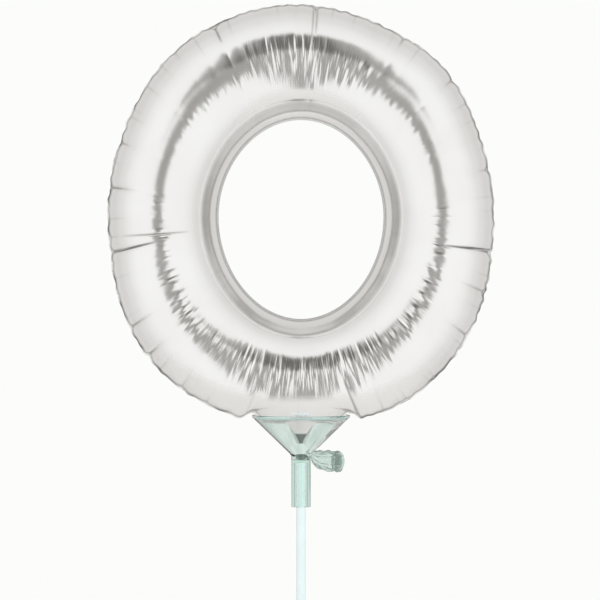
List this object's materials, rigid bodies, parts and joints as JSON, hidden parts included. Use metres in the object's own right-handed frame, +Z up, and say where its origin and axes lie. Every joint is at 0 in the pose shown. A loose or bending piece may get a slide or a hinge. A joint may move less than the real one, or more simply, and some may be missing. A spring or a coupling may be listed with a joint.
{
  "type": "foil number balloon",
  "caption": "Inflated silver foil figure nought with sealed edges and a through hole, seated in a clear cup holder with its gathered tail drawn out at the side, on a slim tube stick.",
  "frame": {"origin": "centre of the stick's lower end", "axes": "+Z up along the stick, front of the figure towards -Y, +X to the right seen from the front, where the tail comes out"},
  "size_m": [0.194, 0.049, 0.5282],
  "materials": {
    "silver_foil": "polished",
    "valve_film": "gloss",
    "tail_film": "gloss",
    "aqua_plastic": "gloss",
    "stick_plastic": "satin"
  },
  "bodies": {
    "stick": {"stick": "stick_plastic"},
    "holder": {"cup_holder": "aqua_plastic"},
    "balloon": {"front_foil_panel": "silver_foil", "rear_foil_panel": "silver_foil", "valve_film_front": "valve_film", "valve_film_rear": "valve_film", "filling_neck": "silver_foil"},
    "tail": {"filling_tail": "tail_film", "tail_roll": "tail_film"}
  },
  "joints": [
    {"name": "holder_slide", "type": "slide", "parent": "stick", "child": "holder", "axis": [0, 0, 1], "range_m": [0, 0.022]},
    {"name": "balloon_nod", "type": "hinge", "parent": "holder", "child": "balloon", "pos_m": [0, 0, 0.306], "axis": [1, 0, 0], "range_deg": [-6, 6], "stiffness_Nm_per_rad": 0.04},
    {"name": "tail_flap", "type": "hinge", "parent": "holder", "child": "tail", "pos_m": [0.0052, 0, 0.3043], "axis": [0, -1, 0], "range_deg": [-15, 15]}
  ]
}
